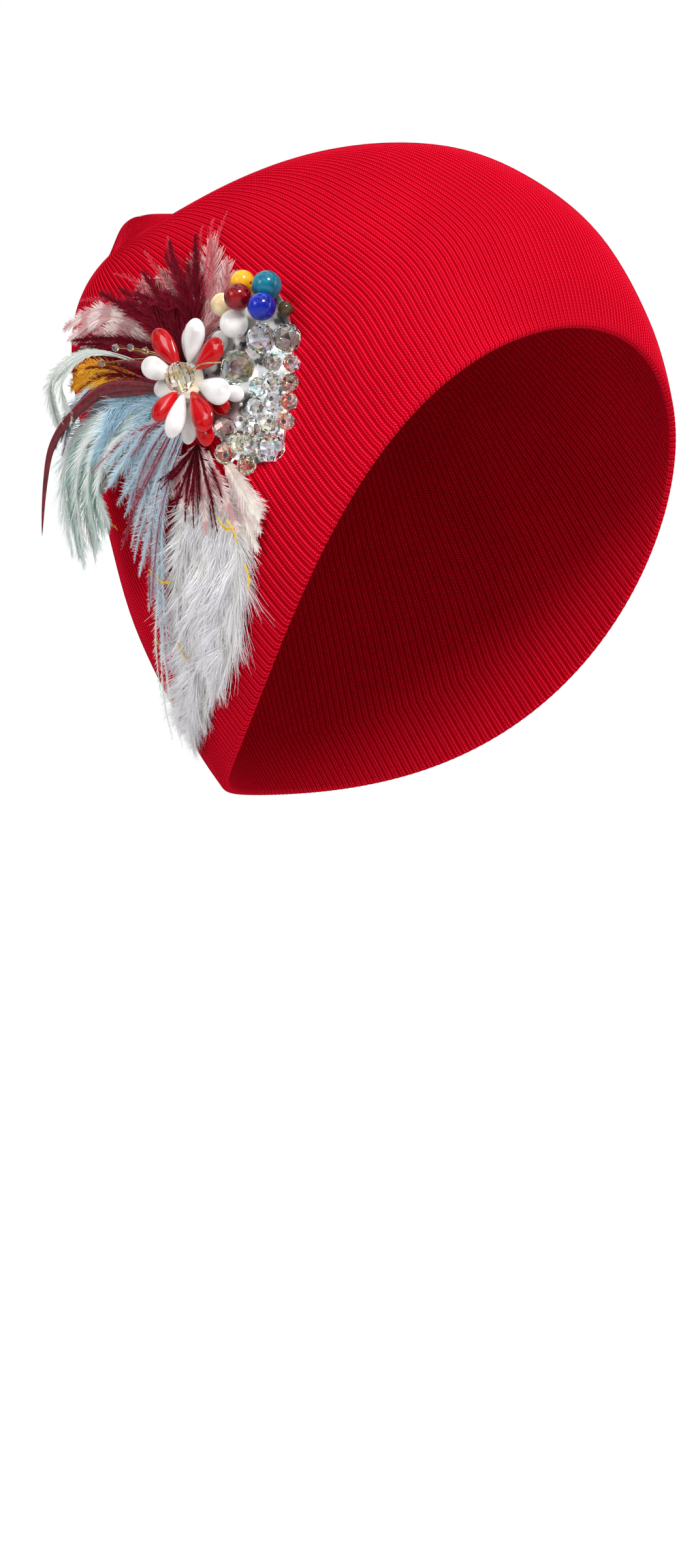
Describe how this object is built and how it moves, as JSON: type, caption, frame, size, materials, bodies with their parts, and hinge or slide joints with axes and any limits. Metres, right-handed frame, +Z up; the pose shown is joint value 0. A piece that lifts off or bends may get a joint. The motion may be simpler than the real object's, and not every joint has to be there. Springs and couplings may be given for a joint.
{
  "type": "flapper hat",
  "caption": "Close-fitting ribbed knit flapper hat in crimson, rolled at the rim, with a crystal and petal brooch over the wearer's right ear and a spray of soft feathers behind it.",
  "frame": {"origin": "the middle of the head, level with the rim over the brow, where a head holds the hat", "axes": "+Z up, +Y towards the back of the head, so the wearer faces -Y and the wearer's right side with the brooch is -X"},
  "size_m": [0.169, 0.2235, 0.2171],
  "materials": {
    "red_knit": "ribbed wool knit",
    "silver_metal": "cast silver-coloured setting",
    "clear_crystal": "faceted, with a rainbow coating",
    "champagne_crystal": "faceted",
    "red_glass": "polished opaque",
    "white_glass": "polished opaque",
    "cream_glass": "polished opaque",
    "yellow_glass": "polished opaque",
    "teal_glass": "polished opaque",
    "olive_glass": "polished opaque",
    "dark_red_glass": "polished translucent",
    "blue_glass": "polished translucent",
    "burgundy_feather": "dyed feather",
    "striped_feather": "dyed feather with burgundy stripes",
    "gold_feather": "dyed feather",
    "ice_blue_feather": "dyed feather",
    "mint_feather": "dyed downy feather",
    "white_feather": "downy feather"
  },
  "bodies": {
    "root": {"knit_cap": "red_knit", "brooch_plate": "silver_metal", "flower_centre": "champagne_crystal", "petal_white_up": "white_glass", "petal_red_front_up": "red_glass", "petal_red_rear_up": "red_glass", "petal_white_rear": "white_glass", "petal_red_rear_low": "red_glass", "petal_white_low": "white_glass", "petal_red_low": "red_glass", "petal_white_front": "white_glass", "petal_white_up_under": "white_glass", "petal_white_rear_under": "white_glass", "petal_white_low_under": "white_glass", "petal_red_low_under": "red_glass", "petal_red_front_under": "red_glass", "petal_white_front_under": "white_glass", "petal_pink_up_under": "white_glass", "crystal_edge_1": "clear_crystal", "crystal_edge_2": "clear_crystal", "crystal_edge_3": "clear_crystal", "crystal_edge_4": "clear_crystal", "crystal_top_front": "clear_crystal", "crystal_top_middle": "clear_crystal", "crystal_centre": "clear_crystal", "crystal_inner_1": "clear_crystal", "crystal_inner_2": "clear_crystal", "crystal_inner_3": "clear_crystal", "crystal_inner_4": "clear_crystal", "crystal_inner_5": "clear_crystal", "crystal_inner_6": "clear_crystal", "crystal_inner_7": "clear_crystal", "crystal_inner_8": "clear_crystal", "crystal_inner_9": "clear_crystal", "crystal_inner_10": "clear_crystal", "crystal_low_rear": "clear_crystal", "crystal_low_left": "clear_crystal", "crystal_low_front": "clear_crystal", "crystal_low_peach": "clear_crystal", "bead_white": "white_glass", "bead_cream": "cream_glass", "bead_yellow": "yellow_glass", "bead_teal": "teal_glass", "bead_olive": "olive_glass", "bead_dark_red": "dark_red_glass", "bead_blue": "blue_glass", "burgundy_fan": "burgundy_feather", "striped_feathers": "striped_feather", "gold_feather": "gold_feather", "blue_plume": "ice_blue_feather", "burgundy_biots": "burgundy_feather", "mint_plume": "mint_feather", "ice_blue_strands": "ice_blue_feather", "white_plume": "white_feather", "burgundy_hackle": "burgundy_feather", "cream_tuft": "striped_feather"}
  },
  "joints": []
}
